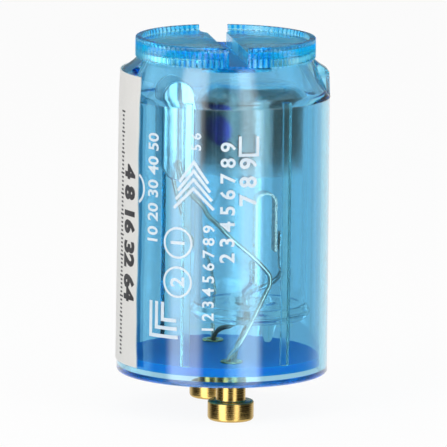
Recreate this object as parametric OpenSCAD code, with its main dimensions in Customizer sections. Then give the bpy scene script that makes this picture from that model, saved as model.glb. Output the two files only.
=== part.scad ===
// Fluorescent starter: a clear moulded canister over a glow switch bulb and a capacitor,
// with two brass contact pins riveted through the base disc.
// It stands on its pins at Z = 0, the pins lie along Y, and the canister's axis is Z.

/* [Canister] */
// Height of the canister from its open rim to the top of the ring
canister_h = 34.35; // [33:0.05:40]
// Height of the open rim above the bottoms of the pins
rim_z = 3.95; // [3:0.05:4.5]
// Outside diameter at the open rim
body_d = 21.5; // [21:0.1:24]
// Mould draft: how much the diameter loses from the rim to the shoulder
body_draft = 0.2; // [0:0.05:0.5]
// Thickness of the moulded wall
wall_t = 0.8; // [0.6:0.05:1.1]
// Width of the chamfer on the inner edge of the open rim
rim_chamfer_w = 0.45; // [0.1:0.05:0.5]
// Height of that chamfer
rim_chamfer_h = 0.55; // [0.2:0.05:0.8]
// Height of the cone between the wall and the ring
shoulder_h = 3.95; // [3:0.05:5]

/* [Knurled ring] */
// How far the tips of the knurls lie inside the body's radius
ring_in = 1.6; // [1:0.05:2]
// Height of the ring
ring_h = 2.05; // [1.6:0.05:2.6]
// Number of knurls
knurl_count = 96; // [60:2:120]
// Depth of a knurl
knurl_depth = 0.22; // [0.1:0.01:0.3]
// Step from the roots of the knurls in to the cone's top
ring_step = 0.05; // [0.02:0.01:0.2]
// Chamfer on the top edge of the ring
ring_chamfer = 0.18; // [0.1:0.01:0.3]
// Width of the raised lip round the top face
lip_w = 0.65; // [0.4:0.05:1]
// Height of the lip above the top face
lip_h = 0.5; // [0.3:0.05:0.8]

/* [Tool slot] */
// Width of the slot across the top face
slot_w = 1.95; // [1.2:0.05:2.4]
// Width of the slot's wide mouth at the rear
slot_mouth_w = 3; // [2.6:0.1:3.5]
// Length of the wide mouth, in from the edge of the ring
slot_mouth_l = 1.95; // [1:0.05:2.5]
// Length over which the mouth narrows to the slot
slot_taper = 1.1; // [0.5:0.1:2]
// Depth of the slot below the top face
slot_depth = 1.35; // [0.8:0.05:1.7]
// Width of the solid bosses under the two ends of the slot
boss_w = 6.8; // [5:0.1:8]
// How far the bosses reach in from the ring's wall
boss_l = 1.4; // [0.5:0.1:2]

/* [Lugs and ribs] */
// Width of the two side lugs that fill the shoulder
lug_w = 4; // [2:0.1:6]
// How far the lugs reach down from the foot of the ring to their corner
lug_drop = 1.5; // [1:0.05:2]
// How far a lug leans in at its corner
lug_lean = 0.1; // [0.05:0.05:0.4]
// Height of the rounded part of a lug above its corner
lug_round = 1; // [0.5:0.05:1.2]
// Thickness of the ribs inside the wall
rib_t = 0.5; // [0.3:0.05:0.8]
// Width of the ribs
rib_w = 0.75; // [0.5:0.05:1.2]
// Angle of the ribs either side of the Y axis
rib_angle = 30; // [20:1:40]

/* [Label] */
// Thickness of the paper label
label_t = 0.12; // [0.08:0.01:0.3]
// Angle that the label covers
label_span = 68; // [50:1:150]
// Angle of the label's middle, from -Y, with -X at -90
label_mid = -96; // [-130:1:-90]
// Height of the label's lower edge above the open rim
label_gap = 1.25; // [0.5:0.05:3]
// How far the label's upper edge stands above the lugs' corner
label_over = 0.15; // [0:0.05:0.3]

/* [Base disc] */
// Depth of the disc's underside inside the rim
disc_recess = 1.05; // [0.5:0.05:2]
// Thickness of the disc
disc_t = 0.9; // [0.7:0.05:1.5]
// Gap between the disc's edge and the wall
disc_clear = 0.05; // [0.02:0.01:0.15]
// Height of the straight seat above the disc
seat_h = 0.5; // [0.2:0.1:1]

/* [Contact pins] */
// Distance between the two pins
pin_spacing = 12.7; // [12:0.1:13.2]
// Diameter of a pin's head
pin_head_d = 4.7; // [4:0.1:5]
// Height of a pin's head
pin_head_h = 2; // [1.5:0.1:2.5]
// Chamfer on the head's lower edge
pin_chamfer = 0.3; // [0.1:0.05:0.5]
// Diameter of the neck between the head and the disc
pin_neck_d = 3; // [2.4:0.1:3.6]
// Diameter of the shank in the disc
pin_shank_d = 1.7; // [1.6:0.05:2]
// Bore that takes the wires
pin_bore_d = 1.2; // [1.1:0.05:1.4]
// Height of the bore's floor above the head
bore_rise = 1; // [0.5:0.1:2]
// Height of the wires' ends above the bore's floor
wire_end = 0.3; // [0.1:0.1:1]
// Diameter of the rolled rim on top of the disc
pin_roll_d = 2.2; // [2.1:0.05:2.8]
// Height of the rolled rim
pin_roll_h = 0.2; // [0.1:0.05:0.4]
// Gap round the shank in the disc
pin_clear = 0.02; // [0.01:0.01:0.05]

/* [Glow switch bulb] */
// Thickness of the glass
glass_t = 0.5; // [0.4:0.05:0.8]
// Gap between the top of the glass and the walls of the tool slot
dome_gap = 1.55; // [0.8:0.05:4]
// Radius of the corner at the top of the glass
bulb_corner = 2.6; // [1.5:0.1:4]
// How far the flared foot reaches past the glass
flare_over = 0.55; // [0.3:0.05:0.8]
// Thickness of the flared foot
flare_t = 1.5; // [1:0.05:2]
// Height of the foot above the base disc
bulb_lift = 3.6; // [3.2:0.05:4.5]
// Gap between the foot and the canister wall
bulb_gap = 0.85; // [0.7:0.05:1.5]
// Length of the sealed exhaust tip under the foot
tip_l = 2.7; // [1.5:0.1:3]
// Diameter of the tip at the foot
tip_d = 2.2; // [1.6:0.1:2.6]
// Offset of the tip from the middle of the bulb
tip_x = 1.9; // [1.7:0.1:3]
// Height of the glass button round the lead seals
button_h = 0.8; // [0.5:0.05:1.2]
// Width of glass round each lead seal in the button
button_rim = 1; // [0.6:0.1:1.4]

/* [Electrodes] */
// Diameter of the bulb's leads and posts
post_d = 0.5; // [0.4:0.05:0.54]
// Distance between the two lead seals
seal_spacing = 2.4; // [2:0.1:3]
// Distance of the lead seals from the bulb's axis
seal_shift = 0.4; // [0:0.1:1]
// Gap round a lead in its seal
seal_clear = 0.02; // [0.01:0.01:0.05]
// Thickness of the bimetal strip
strip_t = 0.25; // [0.15:0.05:0.4]
// Width of the bimetal strip
strip_w = 1.8; // [1.2:0.1:2]
// Distance of the strip's long leg from the bulb's axis
strip_shift = 0.35; // [0:0.05:1]
// Distance between the strip's two legs, middle to middle
strip_pitch = 2; // [1.6:0.1:2.4]
// Height of the strip to the top of its bend
strip_h = 9.6; // [8:0.1:12]
// Length of the strip's free leg below the bend
strip_free_l = 5; // [3:0.1:6]
// Gap between the free leg and the fixed electrode
contact_gap = 0.25; // [0.1:0.05:0.5]
// Length of the fixed electrode beside the free leg
contact_l = 2; // [1:0.1:3]
// Length of the post beside the long leg
weld_l = 2.4; // [1.5:0.1:4]

/* [Capacitor] */
// Thickness of the flat wound roll
cap_w = 3.2; // [2.4:0.1:3.4]
// Height of the roll
cap_h = 10.2; // [8:0.1:10.4]
// Length of the roll over its two metal sprayed ends
cap_l = 7; // [5:0.1:8]
// Thickness of the sprayed metal
spray_t = 0.25; // [0.1:0.05:0.5]
// Gap between the roll and the bulb
cap_gap = 0.55; // [0.4:0.05:1]
// Gap between the roll and the canister wall behind it
cap_wall = 3.25; // [2:0.05:4]
// How far the roll stands above the top of the glass
cap_rise = 0.2; // [0:0.05:0.4]
// Height of the solder points above the roll's lower end
solder_h = 1.9; // [1:0.1:4]
// Diameter of the capacitor's leads
wire_d = 0.45; // [0.3:0.05:0.5]
// Gap between the leads and the bulb's foot
lead_gap = 0.3; // [0.2:0.05:0.6]
// How far the front lead swings out to the side
lead_reach = 3.7; // [2:0.1:4]

/* [Hidden] */
$fn = 96;

// Canister levels and radii
top_z = rim_z + canister_h;
ring_z = top_z - ring_h;
shoulder_z = ring_z - shoulder_h;
body_r = body_d / 2;
shoulder_r = body_r - body_draft / 2;
tip_r = body_r - ring_in;
root_r = tip_r - knurl_depth;
foot_r = root_r - ring_step;
face_z = top_z - lip_h;
slot_z = face_z - slot_depth;
bore_r = body_r - wall_t;
// The inner cone lies one wall inside the outer one
cone_run = shoulder_r - foot_r;
cone_slope = cone_run / shoulder_h;
cone_in = wall_t * norm([cone_run, shoulder_h]) / shoulder_h;
inner_shoulder_z = shoulder_z - (cone_in - wall_t) / cone_slope;
inner_ring_z = shoulder_z + (cone_run - cone_in + wall_t) / cone_slope;
trough_z = slot_z - wall_t;
lug_corner_z = ring_z - lug_drop;
lug_corner_r = shoulder_r - lug_lean;
rib_top_z = shoulder_z + rib_t / 2;

// Base
disc_z = rim_z + disc_recess;
disc_top = disc_z + disc_t;
seat_z = disc_top + seat_h;
pin_y = pin_spacing / 2;
// Two wires lie side by side in a pin's bore
bore_offset = pin_bore_d / 4 - pin_clear;
bore_floor = pin_head_h + bore_rise;
end_z = bore_floor + wire_end;

// Bulb, as wide as the bore leaves room for beside the capacitor, and as high as the slot allows
bulb_d = 2 * bore_r - bulb_gap - flare_over - cap_gap - cap_w - cap_wall;
flare_r = bulb_d / 2 + flare_over;
bulb_x = bore_r - bulb_gap - flare_r;
flare_z = disc_top + bulb_lift;
glass_z = flare_z + flare_t;
dome_z = trough_z - dome_gap;
bulb_h = dome_z - glass_z;
seal_x = bulb_x - seal_shift;
seal_y = seal_spacing / 2;
button_r = seal_y + post_d / 2 + button_rim;
weld_z = flare_z + flare_t / 2;
post_base = glass_z + button_h + 0.4 * post_d;
strip_base = post_base + 1.6 * post_d;
strip_x = bulb_x + strip_shift;
free_x = strip_x + strip_t / 2 + strip_pitch;
bend_z = strip_base + strip_h - strip_pitch / 2 - strip_t / 2;
fixed_x = free_x + strip_t / 2 + contact_gap + post_d / 2;

// Capacitor
cap_x = bulb_x - bulb_d / 2 - cap_gap - cap_w / 2;
cap_z = dome_z + cap_rise - cap_h;
cap_y = cap_l / 2;
front_y = -flare_r - wire_d / 2 - lead_gap;
solder_z = cap_z + solder_h;

// Routes of the wires: heights are shares of the rise from the disc to the roll, and sideways
// steps are shares of the front lead's reach or of a wire's diameter
LEAD_SIDES = 8;
rise = cap_z - disc_top;
out_z = disc_top + pin_roll_h + wire_d / 4;
ROUTE_CAP_FRONT = [
    [-bore_offset, -pin_y, end_z],
    [-bore_offset, -pin_y, out_z],
    [0.19 * lead_reach, front_y, disc_top + 0.105 * rise],
    [0.92 * lead_reach, front_y, disc_top + 0.405 * rise],
    [0.985 * lead_reach, front_y, disc_top + 0.435 * rise],
    [lead_reach, front_y, disc_top + 0.46 * rise],
    [0.985 * lead_reach, front_y, disc_top + 0.49 * rise],
    [0.92 * lead_reach, front_y, disc_top + 0.51 * rise],
    [0.595 * lead_reach, front_y, disc_top + 0.58 * rise],
    [-0.19 * lead_reach, front_y, disc_top + 0.725 * rise],
    [-0.38 * lead_reach, front_y + 0.45 * wire_d, disc_top + 0.77 * rise],
    [-0.7 * lead_reach, front_y + 1.8 * wire_d, disc_top + 0.835 * rise],
    [-0.76 * lead_reach, front_y + 2.7 * wire_d, disc_top + 0.865 * rise],
    [cap_x + 2 * wire_d, -cap_y - 2 * wire_d, cap_z - 2 * wire_d],
    [cap_x + wire_d / 4, -cap_y - 1.8 * wire_d, cap_z + 2.2 * wire_d],
    [cap_x, -cap_y - 1.35 * wire_d, solder_z - wire_d / 2],
    [cap_x, -cap_y - 0.8 * wire_d, solder_z],
    [cap_x, -cap_y, solder_z]];
ROUTE_CAP_REAR = [
    [0, pin_y + bore_offset, end_z],
    [0, pin_y + bore_offset, out_z + wire_d / 2],
    [0, -front_y + wire_d / 4, disc_top + 0.125 * rise],
    [-0.11 * lead_reach, -front_y + wire_d / 4, disc_top + 0.33 * rise],
    [-0.81 * lead_reach, -front_y - 1.8 * wire_d, disc_top + 0.66 * rise],
    [cap_x + 1.35 * wire_d, cap_y + 3.1 * wire_d, cap_z - 3.6 * wire_d],
    [cap_x + wire_d / 4, cap_y + 1.8 * wire_d, cap_z + 2.2 * wire_d],
    [cap_x, cap_y + 1.35 * wire_d, solder_z - wire_d / 2],
    [cap_x, cap_y + 0.8 * wire_d, solder_z],
    [cap_x, cap_y, solder_z]];
ROUTE_BULB_FRONT = [
    [bore_offset, -pin_y, end_z],
    [bore_offset, -pin_y, out_z],
    [0.8 * seal_x, -1.85 * seal_y, flare_z - 2.4 * post_d],
    [0.96 * seal_x, -1.17 * seal_y, flare_z - 1.4 * post_d],
    [seal_x, -seal_y, flare_z - 0.6 * post_d],
    [seal_x, -seal_y, weld_z]];
ROUTE_BULB_REAR = [
    [0, pin_y - bore_offset, end_z],
    [0, pin_y - bore_offset, out_z],
    [0.625 * seal_x, 1.85 * seal_y, flare_z - 2.4 * post_d],
    [0.875 * seal_x, 1.17 * seal_y, flare_z - 1.4 * post_d],
    [seal_x, seal_y, flare_z - 0.6 * post_d],
    [seal_x, seal_y, weld_z]];
ROUTE_POST = [
    [seal_x, seal_y, weld_z],
    [seal_x, seal_y, post_base],
    [strip_x - post_d, seal_y / 2, post_base + post_d],
    [strip_x - post_d / 2, 0, strip_base + 0.6 * post_d],
    [strip_x - post_d / 2, 0, strip_base + weld_l]];
ROUTE_FIXED = [
    [seal_x, -seal_y, weld_z],
    [seal_x, -seal_y, post_base],
    [seal_x + 1.6 * post_d, -strip_w / 2 - post_d, post_base + post_d],
    [free_x - post_d, -strip_w / 2 - post_d, post_base + 2.4 * post_d],
    [fixed_x, -strip_w / 4, post_base + 4.4 * post_d],
    [fixed_x, 0, post_base + 5.6 * post_d],
    [fixed_x, 0, bend_z - strip_free_l + contact_l]];

function unit(v) = v / norm(v);

// Direction of a route at point i, halfway between its two stretches
function along(route, i) =
    let (last = len(route) - 1,
        before = i == 0 ? route[1] - route[0] : route[i] - route[i - 1],
        after = i == last ? route[last] - route[last - 1] : route[i + 1] - route[i])
    unit(unit(before) + unit(after));

// Side vectors of the ring at each point, carried on from the ring before so that the tube never twists
function side_vectors(route, i) =
    let (t = along(route, i),
        guess = i == 0 ? [1, 0.02, 0.01] : side_vectors(route, i - 1),
        flat = guess - (guess * t) * t)
    unit(flat);

// One wire: rings of points swept along its route, closed by a flat face at each end
module wire(route, d) {
    n = LEAD_SIDES;
    rings = [for (i = [0 : len(route) - 1])
        let (t = along(route, i), u = side_vectors(route, i), v = cross(t, u))
        for (k = [0 : n - 1])
            route[i] + d / 2 * (cos(360 * k / n) * u + sin(360 * k / n) * v)];
    walls = [for (i = [0 : len(route) - 2]) for (k = [0 : n - 1])
        [i * n + k, (i + 1) * n + k, (i + 1) * n + (k + 1) % n, i * n + (k + 1) % n]];
    first = [for (k = [0 : n - 1]) k];
    final = [for (k = [n - 1 : -1 : 0]) (len(route) - 1) * n + k];
    polyhedron(points = rings, faces = concat([first, final], walls), convexity = 6);
}

// Outline of the canister's outside, which ends inside the foot of the ring
module outer_profile() {
    polygon([[0, rim_z], [body_r, rim_z], [shoulder_r, shoulder_z], [foot_r, ring_z],
        [foot_r, ring_z + ring_h / 2], [0, ring_z + ring_h / 2]]);
}

// The space inside, one wall in from the outside, with a chamfered mouth and a straight seat
// for the base disc
module inner_profile() {
    mouth_r = bore_r + rim_chamfer_w;
    polygon([[0, rim_z - 1], [mouth_r, rim_z - 1], [mouth_r, rim_z], [bore_r, rim_z + rim_chamfer_h],
        [bore_r, seat_z], [shoulder_r - wall_t, inner_shoulder_z], [foot_r - wall_t, inner_ring_z],
        [foot_r - wall_t, face_z - wall_t], [0, face_z - wall_t]]);
}

// Star-shaped outline of the knurls, with one point on each crest and each root
module knurl_outline() {
    step = 360 / knurl_count;
    polygon([for (k = [0 : knurl_count - 1]) for (s = [0, 1])
        let (r = s == 0 ? tip_r : root_r, a = (k + s / 2) * step) [r * cos(a), r * sin(a)]]);
}

module knurled_ring() {
    intersection() {
        translate([0, 0, ring_z])
            linear_extrude(height = ring_h) knurl_outline();
        rotate_extrude()
            polygon([[0, ring_z - 1], [tip_r + 1, ring_z - 1], [tip_r + 1, top_z - ring_chamfer - 1],
                [tip_r - ring_chamfer, top_z], [0, top_z]]);
    }
}

// One moulded fin on each side that carries the full width of the body over the shoulder
module lugs() {
    buried = wall_t / 2;
    intersection() {
        rotate_extrude()
            polygon([[foot_r - buried, shoulder_z - buried], [shoulder_r - buried, shoulder_z - buried],
                [shoulder_r, shoulder_z], [lug_corner_r, lug_corner_z],
                [lug_corner_r - 0.25 * lug_round, lug_corner_z + 0.35 * lug_round],
                [lug_corner_r - 0.75 * lug_round, lug_corner_z + 0.65 * lug_round],
                [lug_corner_r - 1.2 * lug_round, lug_corner_z + lug_round],
                [foot_r - ring_step, ring_z - ring_step], [foot_r - buried, ring_z - ring_step]]);
        translate([-body_d, -lug_w / 2, 0])
            cube([2 * body_d, lug_w, top_z]);
    }
}

// The slot runs out narrow at the front and through a wide mouth at the rear
module slot_outline() {
    narrow = slot_w / 2;
    wide = slot_mouth_w / 2;
    mouth_y = tip_r - slot_mouth_l;
    far_y = body_d;
    polygon([[-narrow, -far_y], [narrow, -far_y], [narrow, mouth_y - slot_taper], [wide, mouth_y],
        [wide, far_y], [-wide, far_y], [-wide, mouth_y], [-narrow, mouth_y - slot_taper]]);
}

// The slot's own walls, which hang below the top face and widen to a boss at each end
module slot_trough() {
    trough_w = slot_w + 2 * wall_t;
    trough_h = face_z - wall_t / 2 - trough_z;
    boss_y = foot_r - wall_t - boss_l;
    intersection() {
        translate([0, 0, trough_z])
            linear_extrude(height = trough_h) {
                square([trough_w, body_d], center = true);
                for (s = [-1, 1])
                    translate([0, s * (boss_y + body_r)])
                        square([boss_w, body_d], center = true);
            }
        translate([0, 0, trough_z - 1])
            cylinder(r = foot_r - wall_t / 2, h = trough_h + 2);
    }
}

module ribs() {
    for (half = [0, 180]) for (side = [-1, 1])
        rotate([0, 0, half + side * rib_angle])
            translate([-rib_w / 2, -bore_r - wall_t / 2, disc_top])
                cube([rib_w, wall_t / 2 + rib_t, rib_top_z - disc_top]);
}

module canister() {
    color([0.45, 0.74, 0.90, 0.45])
    difference() {
        union() {
            difference() {
                union() {
                    rotate_extrude() outer_profile();
                    knurled_ring();
                    lugs();
                }
                rotate_extrude() inner_profile();
            }
            slot_trough();
            ribs();
        }
        translate([0, 0, face_z])
            cylinder(r = tip_r - lip_w, h = lip_h + 1);
        translate([0, 0, slot_z])
            linear_extrude(height = top_z - slot_z + 1) slot_outline();
    }
}

module base_disc() {
    color([0.05, 0.25, 0.85])
    difference() {
        translate([0, 0, disc_z])
            cylinder(r = bore_r - disc_clear, h = disc_t);
        for (s = [-1, 1])
            translate([0, s * pin_y, disc_z - 1])
                cylinder(r = pin_shank_d / 2 + pin_clear, h = disc_t + 2);
    }
}

// A turned contact: head, neck, shank through the disc and the rim rolled over on top of it
module contact_pin(y) {
    roll_r = pin_roll_d / 2;
    color([0.85, 0.66, 0.22])
    translate([0, y, 0])
    difference() {
        rotate_extrude()
            polygon([[0, 0], [pin_head_d / 2 - pin_chamfer, 0], [pin_head_d / 2, pin_chamfer],
                [pin_head_d / 2, pin_head_h], [pin_neck_d / 2, pin_head_h], [pin_neck_d / 2, disc_z],
                [pin_shank_d / 2, disc_z], [pin_shank_d / 2, disc_top], [roll_r, disc_top],
                [roll_r - pin_roll_h / 2, disc_top + pin_roll_h], [0, disc_top + pin_roll_h]]);
        translate([0, 0, bore_floor])
            cylinder(r = pin_bore_d / 2, h = disc_top);
    }
}

module front_contact_pin() {
    contact_pin(-pin_y);
}

module rear_contact_pin() {
    contact_pin(pin_y);
}

// Half outline of a round-cornered glass of radius r, height h and corner c
module glass_outline(r, h, c) {
    intersection() {
        union() {
            square([r - c, h]);
            square([r, h - c]);
            translate([r - c, h - c]) circle(r = c);
        }
        square([r, h]);
    }
}

module bulb_envelope() {
    color([0.90, 0.95, 0.97, 0.35])
    translate([bulb_x, 0, glass_z])
    difference() {
        rotate_extrude() glass_outline(bulb_d / 2, bulb_h, bulb_corner);
        translate([0, 0, -1])
            rotate_extrude()
                glass_outline(bulb_d / 2 - glass_t, bulb_h - glass_t + 1, bulb_corner - glass_t);
    }
}

module bulb_stem() {
    edge = flare_t / 2;
    color([0.88, 0.94, 0.95, 0.5])
    difference() {
        union() {
            translate([bulb_x, 0, flare_z])
                rotate_extrude() {
                    square([flare_r - edge, flare_t]);
                    intersection() {
                        translate([flare_r - edge, edge]) circle(r = edge);
                        square([flare_r, flare_t]);
                    }
                }
            translate([bulb_x, 0, glass_z])
                cylinder(r1 = button_r, r2 = button_r - button_rim / 2, h = button_h);
            translate([bulb_x + tip_x, 0, flare_z - tip_l])
                cylinder(r1 = tip_d / 8, r2 = tip_d / 2, h = tip_l);
        }
        for (s = [-1, 1])
            translate([seal_x, s * seal_y, flare_z - 1])
                cylinder(r = post_d / 2 + seal_clear, h = flare_t + button_h + 2);
    }
}

// An upturned U of two metals: the long leg is welded to its post, the free leg closes the switch
module bimetal_strip() {
    color([0.86, 0.55, 0.42])
    translate([0, strip_w / 2, 0])
    rotate([90, 0, 0])
    linear_extrude(height = strip_w) {
        translate([strip_x, strip_base])
            square([strip_t, bend_z - strip_base]);
        translate([free_x - strip_t / 2, bend_z - strip_free_l])
            square([strip_t, strip_free_l]);
        translate([(strip_x + strip_t / 2 + free_x) / 2, bend_z])
        difference() {
            circle(r = strip_pitch / 2 + strip_t / 2);
            circle(r = strip_pitch / 2 - strip_t / 2);
            translate([-strip_pitch, -2 * strip_pitch])
                square([2 * strip_pitch, 2 * strip_pitch]);
        }
    }
}

module bimetal_post() {
    color([0.75, 0.75, 0.73]) wire(ROUTE_POST, post_d);
}

module fixed_electrode() {
    color([0.75, 0.75, 0.73]) wire(ROUTE_FIXED, post_d);
}

module bulb_lead_front() {
    color([0.28, 0.20, 0.13]) wire(ROUTE_BULB_FRONT, post_d);
}

module bulb_lead_rear() {
    color([0.28, 0.20, 0.13]) wire(ROUTE_BULB_REAR, post_d);
}

// Stadium outline of the flat wound roll, standing on its round end
module roll_slice(y0, y1) {
    r = cap_w / 2;
    translate([cap_x, y1, cap_z])
    rotate([90, 0, 0])
    linear_extrude(height = y1 - y0) {
        translate([0, r]) circle(r = r);
        translate([0, cap_h - r]) circle(r = r);
        translate([-r, r]) square([cap_w, cap_h - cap_w]);
    }
}

module capacitor_roll() {
    color([0.80, 0.81, 0.82]) roll_slice(-cap_y + spray_t, cap_y - spray_t);
}

module capacitor_end_front() {
    color([0.90, 0.90, 0.90]) roll_slice(-cap_y, -cap_y + spray_t);
}

module capacitor_end_rear() {
    color([0.90, 0.90, 0.90]) roll_slice(cap_y - spray_t, cap_y);
}

module capacitor_lead_front() {
    color([0.88, 0.86, 0.80]) wire(ROUTE_CAP_FRONT, wire_d);
}

module capacitor_lead_rear() {
    color([0.88, 0.86, 0.80]) wire(ROUTE_CAP_REAR, wire_d);
}

// Paper label, wrapped on the wall and standing on over the shoulder against the lug
module label() {
    low_z = rim_z + label_gap;
    high_z = lug_corner_z + label_over;
    color([0.95, 0.95, 0.93])
    rotate([0, 0, label_mid - label_span / 2 - 90])
        rotate_extrude(angle = label_span)
            polygon([[label_r(low_z), low_z], [shoulder_r, shoulder_z], [lug_corner_r, lug_corner_z],
                [lug_corner_r, high_z], [lug_corner_r + label_t, high_z],
                [lug_corner_r + label_t, lug_corner_z], [shoulder_r + label_t, shoulder_z],
                [label_r(low_z) + label_t, low_z]]);
}

// Radius of the canister's outside at height z below the shoulder
function label_r(z) = body_r - (body_r - shoulder_r) * (z - rim_z) / (shoulder_z - rim_z);

canister();
base_disc();
front_contact_pin();
rear_contact_pin();
bulb_envelope();
bulb_stem();
bimetal_strip();
bimetal_post();
fixed_electrode();
bulb_lead_front();
bulb_lead_rear();
capacitor_roll();
capacitor_end_front();
capacitor_end_rear();
capacitor_lead_front();
capacitor_lead_rear();
label();
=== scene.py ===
import math
import bmesh
import bpy
from mathutils import Matrix, Vector, noise


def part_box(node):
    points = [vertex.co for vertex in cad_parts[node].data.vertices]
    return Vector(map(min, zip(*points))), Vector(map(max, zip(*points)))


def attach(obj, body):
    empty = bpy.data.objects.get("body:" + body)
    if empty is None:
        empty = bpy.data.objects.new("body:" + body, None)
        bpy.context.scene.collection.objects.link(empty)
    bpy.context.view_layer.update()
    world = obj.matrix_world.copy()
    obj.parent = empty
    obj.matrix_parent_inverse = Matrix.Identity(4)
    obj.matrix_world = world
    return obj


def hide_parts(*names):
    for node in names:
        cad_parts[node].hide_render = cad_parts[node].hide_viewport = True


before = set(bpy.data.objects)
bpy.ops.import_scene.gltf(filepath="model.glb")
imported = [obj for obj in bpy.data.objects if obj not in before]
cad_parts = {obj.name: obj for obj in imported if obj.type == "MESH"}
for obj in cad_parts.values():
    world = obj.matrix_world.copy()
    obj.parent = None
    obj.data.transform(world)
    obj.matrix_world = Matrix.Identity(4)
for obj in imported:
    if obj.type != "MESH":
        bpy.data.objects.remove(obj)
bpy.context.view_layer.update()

# Every size and place below is in millimetres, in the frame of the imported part
MM = 0.001
ROOT = "root"


def node_box(node):
    """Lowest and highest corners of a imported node, in millimetres."""
    low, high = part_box(node)
    return Vector(low) / MM, Vector(high) / MM


# Canister
low, high = node_box("canister")
RIM_Z = low.z
TOP_Z = high.z
BODY_R = high.y
WALL = 0.8
RING_H = 2.05
SHOULDER_H = 3.95
SHOULDER_R = BODY_R - 0.1
TIP_R = 9.15
KNURL_DEPTH = 0.22
KNURLS = 96
KNURL_FADE = 0.6
FOOT_R = TIP_R - KNURL_DEPTH - 0.05
LIP_W = 0.65
LIP_H = 0.5
RIM_CHAMFER_W = 0.45
RIM_CHAMFER_H = 0.55
SLOT_W = 1.95
SLOT_MOUTH_W = 3.0
SLOT_MOUTH_L = 1.95
SLOT_TAPER = 1.1
SLOT_DEPTH = 1.35
BOSS_W = 6.8
BOSS_L = 1.4
LUG_W = 4.0
LUG_DROP = 1.5
LUG_LEAN = 0.1
RIB_T = 0.5
RIB_W = 0.75
RIB_ANGLE = 30
RING_Z = TOP_Z - RING_H
SHOULDER_Z = RING_Z - SHOULDER_H
FACE_Z = TOP_Z - LIP_H
SLOT_Z = FACE_Z - SLOT_DEPTH
BORE_R = BODY_R - WALL

# Base disc and pins
low, high = node_box("base_disc")
DISC_Z = low.z
DISC_TOP = high.z
low, high = node_box("front_contact_pin")
PIN_Y = -(low.y + high.y) / 2
PIN_HEAD_R = (high.x - low.x) / 2
ROLL_TOP = high.z
PIN_HEAD_H = 2.0
PIN_NECK_R = 1.5
PIN_SHANK_R = 0.85
PIN_ROLL_R = 1.1
PIN_BORE_R = 0.6
BORE_FLOOR = PIN_HEAD_H + 1
BORE_OFFSET = PIN_BORE_R / 2 - 0.02

# Bulb
low, high = node_box("bulb_envelope")
BULB_X = (low.x + high.x) / 2
BULB_R = (high.x - low.x) / 2
GLASS_Z = low.z
DOME_Z = high.z
GLASS_T = 0.5
DOME_CORNER = 2.6
# Middle of the purple patch in the mirror film
PATCH_X = -1.0
PATCH_Z = 29.2
low, high = node_box("bulb_stem")
FLARE_R = (high.y - low.y) / 2
TIP_LOW_Z = low.z
BUTTON_H = 0.8
FLARE_Z = GLASS_Z - 1.5
SEAL_X = BULB_X - 0.4
SEAL_Y = 1.2
WELD_Z = (FLARE_Z + GLASS_Z) / 2
POST_R = 0.25
low, high = node_box("bimetal_strip")
STRIP_X = low.x
STRIP_BASE = low.z
STRIP_TOP = high.z
STRIP_RIGHT = high.x
STRIP_T = 0.25
STRIP_W = 1.8
FREE_X = STRIP_RIGHT - STRIP_T / 2
POST_BASE = GLASS_Z + BUTTON_H + 0.2
FIXED_X = STRIP_RIGHT + 0.25 + POST_R
FREE_LOW_Z = STRIP_TOP - 1.125 - 5

# Capacitor
low, high = node_box("capacitor_roll")
CAP_X = (low.x + high.x) / 2
CAP_R = (high.x - low.x) / 2
CAP_Z = low.z
CAP_TOP = high.z
SPRAY_T = 0.25
CAP_Y = high.y + SPRAY_T
WIRE_R = 0.225
FRONT_Y = -FLARE_R - WIRE_R - 0.3
SOLDER_Z = CAP_Z + 1.9

# Routes of the wires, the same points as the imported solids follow
ROUTE_CAP_FRONT = [
    (-BORE_OFFSET, -PIN_Y, BORE_FLOOR + 0.3),
    (-BORE_OFFSET, -PIN_Y, ROLL_TOP + 0.1),
    (0.7, FRONT_Y, DISC_TOP + 1.9),
    (3.4, FRONT_Y, DISC_TOP + 7.4),
    (3.65, FRONT_Y, DISC_TOP + 7.9),
    (3.7, FRONT_Y, DISC_TOP + 8.4),
    (3.65, FRONT_Y, DISC_TOP + 8.9),
    (3.4, FRONT_Y, DISC_TOP + 9.3),
    (2.2, FRONT_Y, DISC_TOP + 10.6),
    (-0.7, FRONT_Y, DISC_TOP + 13.2),
    (-1.4, FRONT_Y + 0.2, DISC_TOP + 14),
    (-2.6, FRONT_Y + 0.8, DISC_TOP + 15.2),
    (-2.8, FRONT_Y + 1.2, DISC_TOP + 15.7),
    (CAP_X + 0.9, -CAP_Y - 0.9, CAP_Z - 0.9),
    (CAP_X + 0.1, -CAP_Y - 0.8, CAP_Z + 1),
    (CAP_X, -CAP_Y - 0.6, SOLDER_Z - 0.2),
    (CAP_X, -CAP_Y - 0.35, SOLDER_Z),
    (CAP_X, -CAP_Y, SOLDER_Z),
]
ROUTE_CAP_REAR = [
    (0, PIN_Y + BORE_OFFSET, BORE_FLOOR + 0.3),
    (0, PIN_Y + BORE_OFFSET, ROLL_TOP + 0.3),
    (0, -FRONT_Y + 0.1, DISC_TOP + 2.3),
    (-0.4, -FRONT_Y + 0.1, DISC_TOP + 6),
    (-3, -FRONT_Y - 0.8, DISC_TOP + 12),
    (CAP_X + 0.6, CAP_Y + 1.4, CAP_Z - 1.6),
    (CAP_X + 0.1, CAP_Y + 0.8, CAP_Z + 1),
    (CAP_X, CAP_Y + 0.6, SOLDER_Z - 0.2),
    (CAP_X, CAP_Y + 0.35, SOLDER_Z),
    (CAP_X, CAP_Y, SOLDER_Z),
]
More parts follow.
